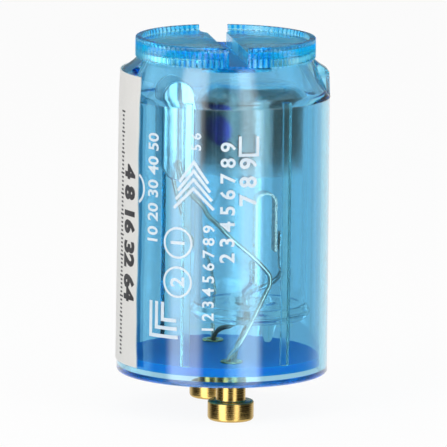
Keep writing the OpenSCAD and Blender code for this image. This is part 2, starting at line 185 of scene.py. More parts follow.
ROUTE_BULB_FRONT = [
    (BORE_OFFSET, -PIN_Y, BORE_FLOOR + 0.3),
    (BORE_OFFSET, -PIN_Y, ROLL_TOP + 0.1),
    (1.9, -2.2, FLARE_Z - 1.2),
    (2.3, -SEAL_Y - 0.2, FLARE_Z - 0.7),
    (SEAL_X, -SEAL_Y, FLARE_Z - 0.3),
    (SEAL_X, -SEAL_Y, WELD_Z),
]
ROUTE_BULB_REAR = [
    (0, PIN_Y - BORE_OFFSET, BORE_FLOOR + 0.3),
    (0, PIN_Y - BORE_OFFSET, ROLL_TOP + 0.1),
    (1.5, 2.2, FLARE_Z - 1.2),
    (2.1, SEAL_Y + 0.2, FLARE_Z - 0.7),
    (SEAL_X, SEAL_Y, FLARE_Z - 0.3),
    (SEAL_X, SEAL_Y, WELD_Z),
]
ROUTE_POST = [
    (SEAL_X, SEAL_Y, WELD_Z),
    (SEAL_X, SEAL_Y, POST_BASE),
    (STRIP_X - 2 * POST_R, SEAL_Y / 2, POST_BASE + 0.5),
    (STRIP_X - POST_R, 0, STRIP_BASE + 0.3),
    (STRIP_X - POST_R, 0, STRIP_BASE + 2.4),
]
ROUTE_FIXED = [
    (SEAL_X, -SEAL_Y, WELD_Z),
    (SEAL_X, -SEAL_Y, POST_BASE),
    (SEAL_X + 0.8, -STRIP_W / 2 - 2 * POST_R, POST_BASE + 0.5),
    (FREE_X - 0.5, -STRIP_W / 2 - 2 * POST_R, POST_BASE + 1.2),
    (FIXED_X, -STRIP_W / 4, POST_BASE + 2.2),
    (FIXED_X, 0, POST_BASE + 2.8),
    (FIXED_X, 0, FREE_LOW_Z + 2),
]

# Camera, from the photo's viewing angle
CAMERA_AZIMUTH = -8.6
CAMERA_ELEVATION = 9.3
CAMERA_DISTANCE = 800
CAMERA_ROLL = 0.7
CAMERA_LENS = 633.3
AIM_Z = 19.05


def polar(r, angle, z):
    """Point at an angle measured from -Y towards +X."""
    a = math.radians(angle)
    return Vector((r * math.sin(a), -r * math.cos(a), z))


def make_camera():
    data = bpy.data.cameras.new("camera")
    data.lens = CAMERA_LENS
    data.sensor_width = 36
    data.clip_start = 0.01
    data.clip_end = 10
    camera = bpy.data.objects.new("camera", data)
    bpy.context.collection.objects.link(camera)
    azimuth = math.radians(CAMERA_AZIMUTH)
    elevation = math.radians(CAMERA_ELEVATION)
    away = Vector((math.sin(azimuth) * math.cos(elevation), -math.cos(azimuth) * math.cos(elevation),
                   math.sin(elevation)))
    turn = away.to_track_quat("Z", "Y") @ Matrix.Rotation(math.radians(CAMERA_ROLL), 3, "Z").to_quaternion()
    camera.location = (Vector((0, 0, AIM_Z)) + away * CAMERA_DISTANCE) * MM
    camera.rotation_euler = turn.to_euler()
    bpy.context.scene.camera = camera


# Shader helpers

def new_material(name):
    material = bpy.data.materials.new(name)
    material.use_nodes = True
    tree = material.node_tree
    return material, tree, tree.nodes["Principled BSDF"]


def add(tree, kind, **values):
    """A node of that kind, with its plain properties set."""
    node = tree.nodes.new(kind)
    for name, value in values.items():
        setattr(node, name, value)
    return node


def math_node(tree, operation, a, b=None, c=None, clamp=False):
    node = add(tree, "ShaderNodeMath", operation=operation, use_clamp=clamp)
    for socket, value in zip(node.inputs, (a, b, c)):
        if value is None:
            continue
        if isinstance(value, (int, float)):
            socket.default_value = value
        else:
            tree.links.new(value, socket)
    return node.outputs[0]


def ramp(tree, value, low, high, out_low=0.0, out_high=1.0):
    """Smooth change from out_low to out_high while value goes from low to high."""
    node = add(tree, "ShaderNodeMapRange", interpolation_type="SMOOTHSTEP")
    tree.links.new(value, node.inputs["Value"])
    node.inputs["From Min"].default_value = low
    node.inputs["From Max"].default_value = high
    node.inputs["To Min"].default_value = out_low
    node.inputs["To Max"].default_value = out_high
    return node.outputs["Result"]


def blend_colours(tree, mask, first, second):
    node = add(tree, "ShaderNodeMix", data_type="RGBA")
    for socket, value in ((node.inputs[0], mask), (node.inputs[6], first), (node.inputs[7], second)):
        if isinstance(value, (tuple, list)):
            socket.default_value = (*value, 1.0)
        elif isinstance(value, (int, float)):
            socket.default_value = value
        else:
            tree.links.new(value, socket)
    return node.outputs[2]


def object_place(tree):
    return add(tree, "ShaderNodeTexCoord").outputs["Object"]


def noise_value(tree, place, scale, detail=3.0, rough=0.5):
    """Noise with about one lump per 1/scale of a millimetre."""
    node = add(tree, "ShaderNodeTexNoise")
    tree.links.new(place, node.inputs["Vector"])
    node.inputs["Scale"].default_value = scale / MM
    node.inputs["Detail"].default_value = detail
    node.inputs["Roughness"].default_value = rough
    return node.outputs["Fac"]


def bump(tree, height, strength, distance):
    node = add(tree, "ShaderNodeBump")
    tree.links.new(height, node.inputs["Height"])
    node.inputs["Strength"].default_value = strength
    node.inputs["Distance"].default_value = distance * MM
    return node.outputs["Normal"]


def surface_grain_group():
    """Shared handling grain: fine marks and slow waves, as a mask and a height."""
    group = bpy.data.node_groups.new("surface_grain", "ShaderNodeTree")
    interface = group.interface
    interface.new_socket("Place", in_out="INPUT", socket_type="NodeSocketVector")
    interface.new_socket("Fine", in_out="INPUT", socket_type="NodeSocketFloat")
    interface.new_socket("Slow", in_out="INPUT", socket_type="NodeSocketFloat")
    interface.new_socket("Mask", in_out="OUTPUT", socket_type="NodeSocketFloat")
    interface.new_socket("Height", in_out="OUTPUT", socket_type="NodeSocketFloat")
    source = group.nodes.new("NodeGroupInput")
    result = group.nodes.new("NodeGroupOutput")
    fine = group.nodes.new("ShaderNodeTexNoise")
    slow = group.nodes.new("ShaderNodeTexNoise")
    fine.inputs["Detail"].default_value = 4
    slow.inputs["Detail"].default_value = 1
    for texture, scale in ((fine, "Fine"), (slow, "Slow")):
        group.links.new(source.outputs["Place"], texture.inputs["Vector"])
        group.links.new(source.outputs[scale], texture.inputs["Scale"])
    mixed = math_node(group, "MULTIPLY", fine.outputs["Fac"], slow.outputs["Fac"])
    summed = math_node(group, "MULTIPLY_ADD", fine.outputs["Fac"], 0.3, slow.outputs["Fac"])
    group.links.new(mixed, result.inputs["Mask"])
    group.links.new(summed, result.inputs["Height"])
    return group


GRAIN = surface_grain_group()


def grain(tree, fine, slow):
    """The shared grain placed in a material, with lump sizes in lumps per millimetre."""
    node = add(tree, "ShaderNodeGroup", node_tree=GRAIN)
    tree.links.new(object_place(tree), node.inputs["Place"])
    node.inputs["Fine"].default_value = fine / MM
    node.inputs["Slow"].default_value = slow / MM
    return node.outputs["Mask"], node.outputs["Height"]


def let_light_through(tree, shader, tint):
    """Shadow rays pass straight through a clear shell, so the pieces inside are lit."""
    clear = add(tree, "ShaderNodeBsdfTransparent")
    clear.inputs["Color"].default_value = (*tint, 1.0)
    path = add(tree, "ShaderNodeLightPath")
    either = math_node(tree, "MAXIMUM", path.outputs["Is Shadow Ray"], path.outputs["Is Diffuse Ray"])
    mix = add(tree, "ShaderNodeMixShader")
    tree.links.new(either, mix.inputs[0])
    tree.links.new(shader, mix.inputs[1])
    tree.links.new(clear.outputs[0], mix.inputs[2])
    output = tree.nodes["Material Output"]
    tree.links.new(mix.outputs[0], output.inputs["Surface"])


def knurl_stripes(tree, split):
    """One for the crests of the knurls and zero for the grooves between them."""
    turned = math_node(tree, "ARCTAN2", split.outputs["X"], split.outputs["Y"])
    wave = math_node(tree, "COSINE", math_node(tree, "MULTIPLY", turned, float(KNURLS)))
    return math_node(tree, "MULTIPLY_ADD", wave, 0.5, 0.5)


def rib_and_haze_masks(tree, split):
    """Masks of the ribs, which get a painted highlight, and of all that is less clear: the ribs, the lugs and the open
    rim.
    """
    z = split.outputs["Z"]
    radius = math_node(tree, "SQRT", math_node(tree, "ADD", math_node(tree, "POWER", split.outputs["X"], 2.0),
                                              math_node(tree, "POWER", split.outputs["Y"], 2.0)))
    below_lid = ramp(tree, z, (SHOULDER_Z + 0.3) * MM, (SHOULDER_Z + 0.4) * MM, 1.0, 0.0)
    rib = math_node(tree, "MULTIPLY", ramp(tree, radius, (BORE_R - 0.15) * MM, (BORE_R - 0.1) * MM, 1.0, 0.0), below_lid)
    off_middle = math_node(tree, "ABSOLUTE", split.outputs["Y"])
    lug = math_node(tree, "MULTIPLY", ramp(tree, off_middle, (LUG_W / 2 + 0.05) * MM, (LUG_W / 2 + 0.1) * MM, 1.0, 0.0),
                    ramp(tree, z, (SHOULDER_Z - 0.1) * MM, SHOULDER_Z * MM))
    lug = math_node(tree, "MULTIPLY", lug, 1.6)
    rim = ramp(tree, z, (RIM_Z + 0.35) * MM, (RIM_Z + 0.7) * MM, 1.0, 0.0)
    return rib, math_node(tree, "MAXIMUM", math_node(tree, "MAXIMUM", rib, lug), rim)


def clear_blue_plastic():
    """Pale in the thin wall, and azure in the thick ring, with a painted highlight on the knurl crests and ribs and
    painted shade on the slot floor.
    """
    material, tree, shader = new_material("clear_blue_plastic")
    place = object_place(tree)
    split = add(tree, "ShaderNodeSeparateXYZ")
    tree.links.new(place, split.inputs[0])
    z = split.outputs["Z"]
    lower = ramp(tree, z, (TOP_Z - 0.95) * MM, (TOP_Z - 0.55) * MM, 1.0, 0.0)
    # Painted highlight: the knurl crests are painted pale, on the lower part of the ring only
    stripes = ramp(tree, knurl_stripes(tree, split), 0.2, 0.8)
    painted_crest_highlight = math_node(tree, "MULTIPLY", stripes, lower)
    flow = noise_value(tree, place, 0.45, 2, 0.6)
    plain = blend_colours(tree, ramp(tree, flow, 0.42, 0.58), (0.06, 0.56, 1.0), (0.34, 0.78, 1.0))
    ring = blend_colours(tree, painted_crest_highlight, plain, (0.86, 0.95, 1.0))
    off_slot = math_node(tree, "ABSOLUTE", split.outputs["X"])
    off_middle = math_node(tree, "ABSOLUTE", split.outputs["Y"])
    boss = math_node(tree, "MULTIPLY", ramp(tree, off_slot, (BOSS_W / 2 - 0.1) * MM, (BOSS_W / 2 + 0.1) * MM, 1.0, 0.0),
                     ramp(tree, off_middle, 7.0 * MM, 7.4 * MM))
    # Painted highlight on the knurl crests of the bosses as well
    boss_tone = blend_colours(tree, stripes, (0.0, 0.42, 1.0), (0.22, 0.70, 1.0))
    ring = blend_colours(tree, boss, ring, boss_tone)
    lid = math_node(tree, "MULTIPLY", ramp(tree, z, (FACE_Z - 0.1) * MM, (FACE_Z - 0.05) * MM),
                    ramp(tree, z, (FACE_Z + 0.05) * MM, (FACE_Z + 0.1) * MM, 1.0, 0.0))
    lid_tone = blend_colours(tree, ramp(tree, flow, 0.40, 0.60), (0.22, 0.74, 1.0), (0.72, 0.93, 1.0))
    ring = blend_colours(tree, lid, ring, lid_tone)
    # Painted shade: the floor of the slot is painted a deeper blue than the ring around it
    slot_floor = math_node(tree, "MULTIPLY", ramp(tree, off_slot, 1.0 * MM, 1.1 * MM, 1.0, 0.0),
                           ramp(tree, z, (SLOT_Z + 0.02) * MM, (SLOT_Z + 0.2) * MM, 1.0, 0.0))
    ring = blend_colours(tree, slot_floor, ring, (0.02, 0.42, 1.0))
    in_ring = ramp(tree, z, (RING_Z - 0.35) * MM, (RING_Z + 0.02) * MM)
    ribs, worn = rib_and_haze_masks(tree, split)
    # Painted highlight: the ribs are painted near white
    below_ring = blend_colours(tree, ribs, (0.53, 0.745, 0.905), (0.95, 0.985, 1.0))
    wall = blend_colours(tree, in_ring, below_ring, ring)
    tree.links.new(wall, shader.inputs["Base Color"])
    shader.inputs["Metallic"].default_value = 0.0
    shader.inputs["Transmission Weight"].default_value = 1.0
    shader.inputs["IOR"].default_value = 1.57
    shader.inputs["Specular IOR Level"].default_value = 1.0
    tree.links.new(math_node(tree, "MULTIPLY_ADD", in_ring, -0.6, 0.7), shader.inputs["Coat Weight"])
    shader.inputs["Coat IOR"].default_value = 1.6
    shader.inputs["Coat Roughness"].default_value = 0.04
    mask, height = grain(tree, 1.3, 0.16)
    rough = ramp(tree, mask, 0.2, 0.5, 0.015, 0.05)
    floor_haze = math_node(tree, "MULTIPLY_ADD", slot_floor, 0.2, 0.16)
    hazy = math_node(tree, "MAXIMUM", math_node(tree, "MULTIPLY", in_ring, floor_haze),
                     math_node(tree, "MULTIPLY", worn, 0.22))
    tree.links.new(math_node(tree, "ADD", hazy, rough), shader.inputs["Roughness"])
    flowing = math_node(tree, "MULTIPLY", math_node(tree, "MULTIPLY", flow, in_ring), 6.0)
    uneven = math_node(tree, "ADD", height, flowing)
    tree.links.new(bump(tree, uneven, 0.12, 0.05), shader.inputs["Normal"])
    let_light_through(tree, shader.outputs[0], (0.80, 0.93, 0.98))
    depth = add(tree, "ShaderNodeVolumeAbsorption")
    depth.inputs["Color"].default_value = (0.0, 0.91, 1.0, 1.0)
    depth.inputs["Density"].default_value = 0.33 / MM
    tree.links.new(depth.outputs[0], tree.nodes["Material Output"].inputs["Volume"])
    return material


def clear_glass(name, colour, rough, gloss):
    material, tree, shader = new_material(name)
    shader.inputs["Base Color"].default_value = (*colour, 1.0)
    shader.inputs["Transmission Weight"].default_value = 1.0
    shader.inputs["IOR"].default_value = 1.5
    shader.inputs["Specular IOR Level"].default_value = gloss
    mask, height = grain(tree, 0.9, 0.25)
    tree.links.new(ramp(tree, mask, 0.15, 0.5, rough, rough + 0.03), shader.inputs["Roughness"])
    tree.links.new(bump(tree, height, 0.25, 0.06), shader.inputs["Normal"])
    let_light_through(tree, shader.outputs[0], (0.93, 0.95, 0.95))
    return material


def getter_mirror():
    """Metal film deposited inside the dome: dark on top, thinning out downwards, one purple patch."""
    material, tree, shader = new_material("getter_mirror")
    place = object_place(tree)
    split = add(tree, "ShaderNodeSeparateXYZ")
    tree.links.new(place, split.inputs[0])
    height = math_node(tree, "DIVIDE", split.outputs["Z"], MM)
    lumps = noise_value(tree, place, 0.3, 3)
    lowered = math_node(tree, "MULTIPLY_ADD", lumps, 9.0, height)
    tone = blend_colours(tree, ramp(tree, lowered, 32.0, 35.5), (0.48, 0.28, 0.21), (0.38, 0.24, 0.18))
    tone = blend_colours(tree, ramp(tree, height, DOME_Z - 1.8, DOME_Z - 0.7), tone, (0.03, 0.03, 0.025))
    wobble = noise_value(tree, place, 0.9, 2)
    aside = math_node(tree, "DIVIDE", math_node(tree, "SUBTRACT", split.outputs["X"], PATCH_X * MM), 1.15 * MM)
    along = math_node(tree, "DIVIDE", math_node(tree, "SUBTRACT", split.outputs["Z"], PATCH_Z * MM), 1.5 * MM)
    reach = math_node(tree, "ADD", math_node(tree, "POWER", aside, 2.0), math_node(tree, "POWER", along, 2.0))
    reach = math_node(tree, "MULTIPLY_ADD", wobble, 1.2, reach)
    front = ramp(tree, split.outputs["Y"], -1.0 * MM, 1.0 * MM, 1.0, 0.0)
    patch = math_node(tree, "MULTIPLY", ramp(tree, reach, 1.2, 1.9, 1.0, 0.0), front)
    tree.links.new(blend_colours(tree, patch, tone, (0.13, 0.002, 0.34)), shader.inputs["Base Color"])
    shader.inputs["Metallic"].default_value = 0.85
    shader.inputs["Roughness"].default_value = 0.18
    cover = ramp(tree, lowered, 27.0, 35.0, 0.0, 0.9)
    tree.links.new(math_node(tree, "MAXIMUM", cover, patch), shader.inputs["Alpha"])
    return material


def brass():
    material, tree, shader = new_material("pin_brass")
    place = object_place(tree)
    split = add(tree, "ShaderNodeSeparateXYZ")
    tree.links.new(place, split.inputs[0])
    # Turning marks: rings of equal height that run round the pin
    rings = add(tree, "ShaderNodeTexNoise", noise_dimensions="1D")
    tree.links.new(math_node(tree, "MULTIPLY", split.outputs["Z"], 14 / MM), rings.inputs["W"])
    rings.inputs["Scale"].default_value = 1.0
    rings.inputs["Detail"].default_value = 2.0
    mask, height = grain(tree, 4.0, 0.5)
    tone = blend_colours(tree, mask, (0.66, 0.44, 0.13), (0.80, 0.59, 0.22))
    tree.links.new(tone, shader.inputs["Base Color"])
    shader.inputs["Metallic"].default_value = 1.0
    tree.links.new(ramp(tree, rings.outputs["Fac"], 0.3, 0.7, 0.14, 0.30), shader.inputs["Roughness"])
    both = math_node(tree, "MULTIPLY_ADD", height, 0.4, rings.outputs["Fac"])
    tree.links.new(bump(tree, both, 0.35, 0.02), shader.inputs["Normal"])
    return material


def plain_metal(name, dark, light, rough, fine=3.0, strength=0.3):
    material, tree, shader = new_material(name)
    mask, height = grain(tree, fine, 0.4)
    tree.links.new(blend_colours(tree, mask, dark, light), shader.inputs["Base Color"])
    shader.inputs["Metallic"].default_value = 1.0
    tree.links.new(ramp(tree, mask, 0.1, 0.5, rough * 0.7, rough * 1.3), shader.inputs["Roughness"])
    tree.links.new(bump(tree, height, strength, 0.03), shader.inputs["Normal"])
    return material


def sprayed_metal():
    """Rough bright metal sprayed on the wound edges of the roll."""
    material, tree, shader = new_material("sprayed_metal")
    mask, height = grain(tree, 2.6, 0.9)
    tree.links.new(blend_colours(tree, ramp(tree, mask, 0.15, 0.4), (0.92, 0.84, 0.78), (1.0, 0.95, 0.90)),
                   shader.inputs["Base Color"])
    shader.inputs["Metallic"].default_value = 1.0
    shader.inputs["Roughness"].default_value = 0.28
    tree.links.new(bump(tree, height, 0.55, 0.12), shader.inputs["Normal"])
    return material


def deep_blue_plastic():
    material, tree, shader = new_material("deep_blue_plastic")
    place = object_place(tree)
    split = add(tree, "ShaderNodeSeparateXYZ")
    tree.links.new(place, split.inputs[0])
    across = math_node(tree, "POWER", split.outputs["X"], 2.0)
    along = math_node(tree, "POWER", split.outputs["Y"], 2.0)
    radius = math_node(tree, "SQRT", math_node(tree, "ADD", across, along))
    # Painted highlight: the outer edge of the disc is painted a brighter blue than its top
    edge = ramp(tree, radius, 9.75 * MM, 9.9 * MM)
    mask, height = grain(tree, 2.0, 0.3)
    top = blend_colours(tree, mask, (0.0, 0.22, 0.64), (0.0, 0.29, 0.82))
    tree.links.new(blend_colours(tree, edge, top, (0.0, 0.35, 0.98)), shader.inputs["Base Color"])
    shader.inputs["Roughness"].default_value = 0.35
    shader.inputs["Specular IOR Level"].default_value = 0.02
    shader.inputs["Subsurface Weight"].default_value = 0.7
    shader.inputs["Subsurface Radius"].default_value = (0.05, 0.5, 1.0)
    shader.inputs["Subsurface Scale"].default_value = 1.6 * MM
    tree.links.new(bump(tree, height, 0.1, 0.03), shader.inputs["Normal"])
    return material


def label_paper():
    material, tree, shader = new_material("label_paper")
    mask, height = grain(tree, 5.0, 0.35)
    tree.links.new(blend_colours(tree, mask, (0.78, 0.77, 0.74), (0.90, 0.90, 0.88)),
                   shader.inputs["Base Color"])
    shader.inputs["Roughness"].default_value = 0.5
    tree.links.new(bump(tree, height, 0.2, 0.03), shader.inputs["Normal"])
    return material


def ink(name, dark, light, rough):
    material, tree, shader = new_material(name)
    mask, height = grain(tree, 6.0, 0.8)
    tree.links.new(blend_colours(tree, ramp(tree, mask, 0.1, 0.45), dark, light), shader.inputs["Base Color"])
    shader.inputs["Roughness"].default_value = rough
    tree.links.new(bump(tree, height, 0.2, 0.02), shader.inputs["Normal"])
    return material


def wound_film():
    material, tree, shader = new_material("metallised_film")
    mask, height = grain(tree, 1.5, 0.5)
    tree.links.new(blend_colours(tree, mask, (0.62, 0.64, 0.66), (0.85, 0.87, 0.88)),
                   shader.inputs["Base Color"])
    shader.inputs["Metallic"].default_value = 0.8
    shader.inputs["Roughness"].default_value = 0.22
    tree.links.new(bump(tree, height, 0.5, 0.08), shader.inputs["Normal"])
    return material


PLASTIC = clear_blue_plastic()
BULB_GLASS = clear_glass("bulb_glass", (0.97, 0.98, 0.98), 0.01, 0.18)
STEM_GLASS = clear_glass("stem_glass", (0.97, 0.98, 0.93), 0.02, 0.8)
MIRROR_FILM = getter_mirror()
BRASS = brass()
DEEP_BLUE = deep_blue_plastic()
PAPER = label_paper()
DARK_INK = ink("dark_ink", (0.035, 0.035, 0.04), (0.07, 0.07, 0.075), 0.5)
WHITE_INK = ink("white_ink", (0.68, 0.80, 0.90), (0.82, 0.90, 0.96), 0.5)
FILM = wound_film()
SPRAY = sprayed_metal()
TINNED = plain_metal("tinned_wire", (1.0, 0.64, 0.46), (1.0, 0.80, 0.64), 0.2)
DARK_LEAD = plain_metal("dark_lead", (0.10, 0.065, 0.04), (0.24, 0.17, 0.11), 0.4)
NICKEL = plain_metal("post_nickel", (0.60, 0.59, 0.56), (0.80, 0.79, 0.76), 0.25)
BIMETAL = plain_metal("bimetal", (0.75, 0.42, 0.30), (0.92, 0.62, 0.48), 0.3)


# Mesh helpers

def finished(name, bm, material, replaces=(), sharp=35):
    """Turns a bmesh in millimetres into a smooth shaded piece that rides on the part."""
    bmesh.ops.scale(bm, vec=(MM, MM, MM), verts=bm.verts)
    for face in bm.faces:
        face.smooth = True
    mesh = bpy.data.meshes.new(name)
    bm.to_mesh(mesh)
    bm.free()
    mesh.set_sharp_from_angle(angle=math.radians(sharp))
    mesh.materials.append(material)
    piece = bpy.data.objects.new(name, mesh)
    bpy.context.collection.objects.link(piece)
    return registered(piece, replaces)


def registered(piece, replaces=()):
    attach(piece, ROOT)
    if replaces:
        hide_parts(*replaces)
    return piece


def rounded(corners, segments=4):
    """Outline from corners (r, z, fillet): a corner with a fillet becomes an arc."""
    points = []
    count = len(corners)
    for i, (r, z, fillet) in enumerate(corners):
        corner = Vector((r, z))
        if fillet <= 0:
            points.append(corner)
            continue
        before = (Vector(corners[i - 1][:2]) - corner).normalized()
        after = (Vector(corners[(i + 1) % count][:2]) - corner).normalized()
        half = before.angle(after) / 2
        centre = corner + (before + after).normalized() * (fillet / math.sin(half))
        start = corner + before * (fillet / math.tan(half)) - centre
        end = corner + after * (fillet / math.tan(half)) - centre
        sweep = start.angle_signed(end)
        for k in range(segments + 1):
            turn = Matrix.Rotation(-sweep * k / segments, 2)
            points.append(centre + turn @ start)
    return points


def supported(outline):
    """Adds a point near both ends of each long straight, so that its face shades flat."""
    points = []
    for here, after in zip(outline, list(outline[1:]) + list(outline[:1])):
        here = Vector(here)
        step = Vector(after) - here
        points.append(here)
        if step.length > 1.5 and max(here.x, after[0]) > 1e-6:
            near = step.normalized() * 0.25
            points.append(here + near)
            points.append(here + step - near)
    return points


def spun(outline, steps, angle=360.0, centre_x=0.0):
    """Closed outline of (r, z) points, spun round a vertical axis."""
    bm = bmesh.new()
    ring = [bm.verts.new((point[0], 0, point[1])) for point in supported(outline)]
    edges = [bm.edges.new((a, b)) for a, b in zip(ring, ring[1:] + ring[:1])
             if a.co.x > 1e-6 or b.co.x > 1e-6]
    bmesh.ops.spin(bm, geom=ring + edges, cent=(0, 0, 0), axis=(0, 0, 1), angle=math.radians(angle),
                   steps=steps, use_merge=angle >= 360)
    bmesh.ops.remove_doubles(bm, verts=bm.verts, dist=1e-5)
    bmesh.ops.recalc_face_normals(bm, faces=bm.faces)
    bmesh.ops.translate(bm, vec=(centre_x, 0, 0), verts=bm.verts)
    return bm


def prism(outline, low_z, high_z):
    """Flat outline of (x, y) points, extruded upwards."""
    bm = bmesh.new()
    base = bm.faces.new([bm.verts.new((x, y, low_z)) for x, y in outline])
    grown = bmesh.ops.extrude_face_region(bm, geom=[base])
    top = [item for item in grown["geom"] if isinstance(item, bmesh.types.BMVert)]
    bmesh.ops.translate(bm, vec=(0, 0, high_z - low_z), verts=top)
    bmesh.ops.recalc_face_normals(bm, faces=bm.faces)
    return bm


def hidden_tool(name, bm):
    """A shape that only cuts or joins another piece, and is removed after that."""
    bmesh.ops.scale(bm, vec=(MM, MM, MM), verts=bm.verts)
    mesh = bpy.data.meshes.new(name)
    bm.to_mesh(mesh)
    bm.free()
    tool = bpy.data.objects.new(name, mesh)
    bpy.context.collection.objects.link(tool)
    return tool


def combined(piece, tool, operation):
    """Joins or cuts a piece with a tool shape, and keeps the result as the piece's own mesh."""
    modifier = piece.modifiers.new(operation.lower(), "BOOLEAN")
    modifier.operation = operation
    modifier.object = tool
    modifier.solver = "EXACT"
    depsgraph = bpy.context.evaluated_depsgraph_get()
    result = bpy.data.meshes.new_from_object(piece.evaluated_get(depsgraph))
    piece.modifiers.remove(modifier)
    old = piece.data
    piece.data = result
    bpy.data.meshes.remove(old)
    used = tool.data
    bpy.data.objects.remove(tool)
    bpy.data.meshes.remove(used)


def make_wire(name, route, radius, material):
    """Round wire along a smooth curve through the points of its route."""
    curve = bpy.data.curves.new(name, "CURVE")
    curve.dimensions = "3D"
    curve.bevel_depth = radius * MM
    curve.bevel_resolution = 4
    curve.resolution_u = 6
    curve.use_fill_caps = True
    spline = curve.splines.new("BEZIER")
    spline.bezier_points.add(len(route) - 1)
    for point, place in zip(spline.bezier_points, route):
        point.co = Vector(place) * MM
        point.handle_left_type = "AUTO"
        point.handle_right_type = "AUTO"
    source = bpy.data.objects.new(name + "_curve", curve)
    bpy.context.collection.objects.link(source)
    depsgraph = bpy.context.evaluated_depsgraph_get()
    mesh = bpy.data.meshes.new_from_object(source.evaluated_get(depsgraph))
    bpy.data.objects.remove(source)
    bpy.data.curves.remove(curve)
    bm = bmesh.new()
    bm.from_mesh(mesh)
    bmesh.ops.remove_doubles(bm, verts=bm.verts, dist=1e-7)
    bmesh.ops.recalc_face_normals(bm, faces=bm.faces)
    bmesh.ops.scale(bm, vec=(1 / MM, 1 / MM, 1 / MM), verts=bm.verts)
    bpy.data.meshes.remove(mesh)
    return finished(name + "_wire", bm, material, replaces=(name,), sharp=50)


# Canister

CANISTER_STEPS = 4 * KNURLS
SEAT_Z = DISC_TOP + 0.5
RIB_TOP = SHOULDER_Z + RIB_T / 2
STEP_END = 0.03


def cone_radius(z):
    """Outside radius of the shoulder cone."""
    return SHOULDER_R + (FOOT_R - SHOULDER_R) * (z - SHOULDER_Z) / SHOULDER_H


LUG_CORNER_Z = RING_Z - LUG_DROP
LUG_CORNER_R = SHOULDER_R - LUG_LEAN
LUG_PROFILE = [
    (SHOULDER_R, SHOULDER_Z), (LUG_CORNER_R, LUG_CORNER_Z), (LUG_CORNER_R - 0.25, LUG_CORNER_Z + 0.35),
    (LUG_CORNER_R - 0.75, LUG_CORNER_Z + 0.65), (LUG_CORNER_R - 1.2, LUG_CORNER_Z + 1),
    (FOOT_R, RING_Z - 0.05),
]


def lug_radius(z):
    for (r0, z0), (r1, z1) in zip(LUG_PROFILE, LUG_PROFILE[1:]):
        if z0 <= z <= z1:
            return r0 + (r1 - r0) * (z - z0) / (z1 - z0)
    return cone_radius(z)


def canister_outline():
    run = SHOULDER_R - FOOT_R
    inward = WALL * math.hypot(run, SHOULDER_H) / SHOULDER_H
    inner_shoulder_z = SHOULDER_Z - (inward - WALL) * SHOULDER_H / run
    inner_ring_z = SHOULDER_Z + (run - inward + WALL) * SHOULDER_H / run
    lug_rows = [(cone_radius(z), z, 0) for _, z in LUG_PROFILE[1:]]
    return rounded([
        (BORE_R, RIM_Z + RIM_CHAMFER_H, 0.08), (BORE_R + RIM_CHAMFER_W, RIM_Z, 0.03), (BODY_R, RIM_Z, 0.3),
        (wall_radius(SHOULDER_Z - 0.12), SHOULDER_Z - 0.12, 0), (SHOULDER_R + 0.03, SHOULDER_Z, 0),
        (cone_radius(SHOULDER_Z + 0.12), SHOULDER_Z + 0.12, 0), *lug_rows,
        (FOOT_R, RING_Z, 0.0), (TIP_R, RING_Z, 0.06), (TIP_R, TOP_Z - KNURL_FADE, 0), (TIP_R, TOP_Z, 0.16),
        (TIP_R - LIP_W, TOP_Z, 0.1), (TIP_R - LIP_W, FACE_Z, 0.08), (0, FACE_Z, 0),
        (0, FACE_Z - WALL, 0), (FOOT_R - WALL, FACE_Z - WALL, 0.25), (FOOT_R - WALL, inner_ring_z, 0.3),
        (SHOULDER_R - WALL, inner_shoulder_z + 0.6, 0), (SHOULDER_R - WALL, RIB_TOP, 0),
        (SHOULDER_R - WALL, RIB_TOP - STEP_END, 0), (SHOULDER_R - WALL, inner_shoulder_z - 0.2, 0),
        (BORE_R, SEAT_Z, 0), (BORE_R, DISC_TOP + STEP_END, 0), (BORE_R, DISC_TOP, 0),
    ])


def shape_canister_columns(bm):
    """Knurls, lugs and ribs, made by moving whole columns of the spun wall in or out."""
    rib_half = math.degrees(RIB_W / 2 / BORE_R)
    rib_angles = [half + side * RIB_ANGLE for half in (0, 180) for side in (-1, 1)]
    for vert in bm.verts:
        r = math.hypot(vert.co.x, vert.co.y)
        if r < 1:
            continue
        angle = math.degrees(math.atan2(vert.co.x, -vert.co.y))
        new_r = r
        if RING_Z - 0.001 < vert.co.z < TOP_Z - KNURL_FADE + 0.01 and r > FOOT_R + 0.02:
            crest = 0.5 + 0.5 * math.cos(math.radians(angle * KNURLS))
            new_r = r - KNURL_DEPTH * (1 - crest) * min(1, (r - FOOT_R) / (TIP_R - FOOT_R))
        elif SHOULDER_Z + 0.01 < vert.co.z < RING_Z - 0.01 and r > cone_radius(vert.co.z) - 0.1:
            if abs(vert.co.y) < LUG_W / 2:
                new_r = lug_radius(vert.co.z)
        elif DISC_TOP + 0.01 < vert.co.z < RIB_TOP - 0.01 and r < BORE_R + 0.05:
            if any(abs((angle - a + 180) % 360 - 180) < rib_half for a in rib_angles):
                new_r = BORE_R - RIB_T
        if new_r != r:
            vert.co.x *= new_r / r
            vert.co.y *= new_r / r


def slot_plan():
    """The slot in plan: narrow through the front edge, with a wide mouth at the rear."""
    narrow = SLOT_W / 2
    wide = SLOT_MOUTH_W / 2
    mouth_y = TIP_R - SLOT_MOUTH_L
    reach = TIP_R + 2
    right = [(narrow, -reach), (narrow, mouth_y - SLOT_TAPER), (wide, mouth_y), (wide, reach)]
    return right + [(-x, y) for x, y in reversed(right)]


def trough_plan():
    """The slot's own walls in plan, with a boss at each end that follows the round wall."""
    half = SLOT_W / 2 + WALL
    boss_y = FOOT_R - WALL - BOSS_L
    reach = FOOT_R - WALL / 2
    arc = math.asin(BOSS_W / 2 / reach)
    front = [(reach * math.sin(a), -reach * math.cos(a))
             for a in (arc * (k / 8 - 1) for k in range(17))]
    front = [(-half, -boss_y), (-BOSS_W / 2, -boss_y)] + front + [(BOSS_W / 2, -boss_y), (half, -boss_y)]
    return front + [(-x, -y) for x, y in front]


